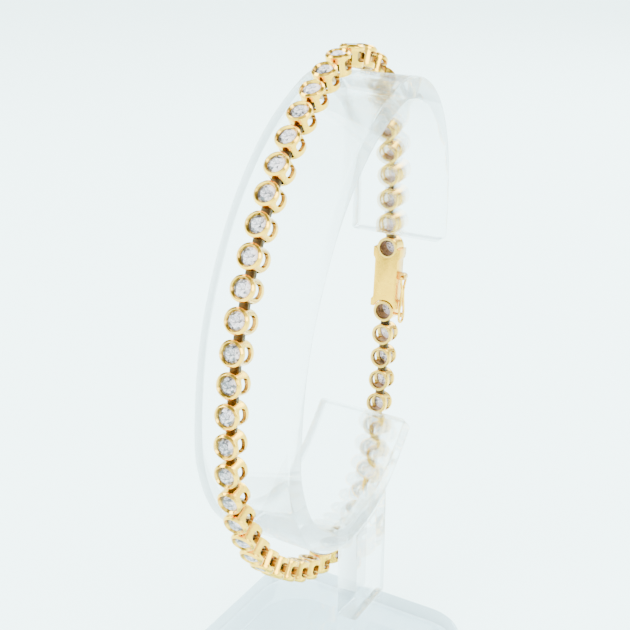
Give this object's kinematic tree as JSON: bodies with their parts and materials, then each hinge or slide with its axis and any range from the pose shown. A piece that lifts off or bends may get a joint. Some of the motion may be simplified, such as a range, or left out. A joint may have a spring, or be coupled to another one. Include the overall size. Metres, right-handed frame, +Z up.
{
  "type": "tennis bracelet on display stand",
  "caption": "Closed tennis bracelet of round bezel-set stones with a box clasp and safety catch, hung round a clear C-shaped display band on a flat stem and rounded base.",
  "frame": {"origin": "middle of the bounding box, on the table under the base", "axes": "+Z up, the bracelet's loop stands in the YZ plane with its shown front towards -Y and its clasp towards +Y, the stem stands at the band's +X edge"},
  "size_m": [0.032, 0.0564, 0.0841],
  "materials": {
    "yellow_gold": "polished yellow gold, each link with a colourless cut stone fused in its bezel",
    "clear_acrylic": "clear polished acrylic"
  },
  "bodies": {
    "bracelet_and_stand": {"display_base": "clear_acrylic", "display_stem": "clear_acrylic", "display_band": "clear_acrylic", "clasp_box": "yellow_gold", "clasp_tongue": "yellow_gold", "link_01": "yellow_gold", "link_02": "yellow_gold", "link_03": "yellow_gold", "link_04": "yellow_gold", "link_05": "yellow_gold", "link_06": "yellow_gold", "link_07": "yellow_gold", "link_08": "yellow_gold", "link_09": "yellow_gold", "link_10": "yellow_gold", "link_11": "yellow_gold", "link_12": "yellow_gold", "link_13": "yellow_gold", "link_14": "yellow_gold", "link_15": "yellow_gold", "link_16": "yellow_gold", "link_17": "yellow_gold", "link_18": "yellow_gold", "link_19": "yellow_gold", "link_20": "yellow_gold", "link_21": "yellow_gold", "link_22": "yellow_gold", "link_23": "yellow_gold", "link_24": "yellow_gold", "link_25": "yellow_gold", "link_26": "yellow_gold", "link_27": "yellow_gold", "link_28": "yellow_gold", "link_29": "yellow_gold", "link_30": "yellow_gold", "link_31": "yellow_gold", "link_32": "yellow_gold", "link_33": "yellow_gold", "link_34": "yellow_gold", "link_35": "yellow_gold", "link_36": "yellow_gold", "link_37": "yellow_gold", "link_38": "yellow_gold", "link_39": "yellow_gold", "link_40": "yellow_gold", "link_41": "yellow_gold", "link_42": "yellow_gold", "link_43": "yellow_gold", "link_44": "yellow_gold", "link_45": "yellow_gold", "link_46": "yellow_gold", "link_47": "yellow_gold"},
    "safety_catch": {"safety_catch": "yellow_gold"}
  },
  "joints": [
    {"name": "safety_catch_hinge", "type": "hinge", "parent": "bracelet_and_stand", "child": "safety_catch", "pos_m": [-0.0058, 0.02574, 0.04822], "axis": [0.0573, -0.9939, 0.0938], "range_deg": [0, 110]}
  ]
}
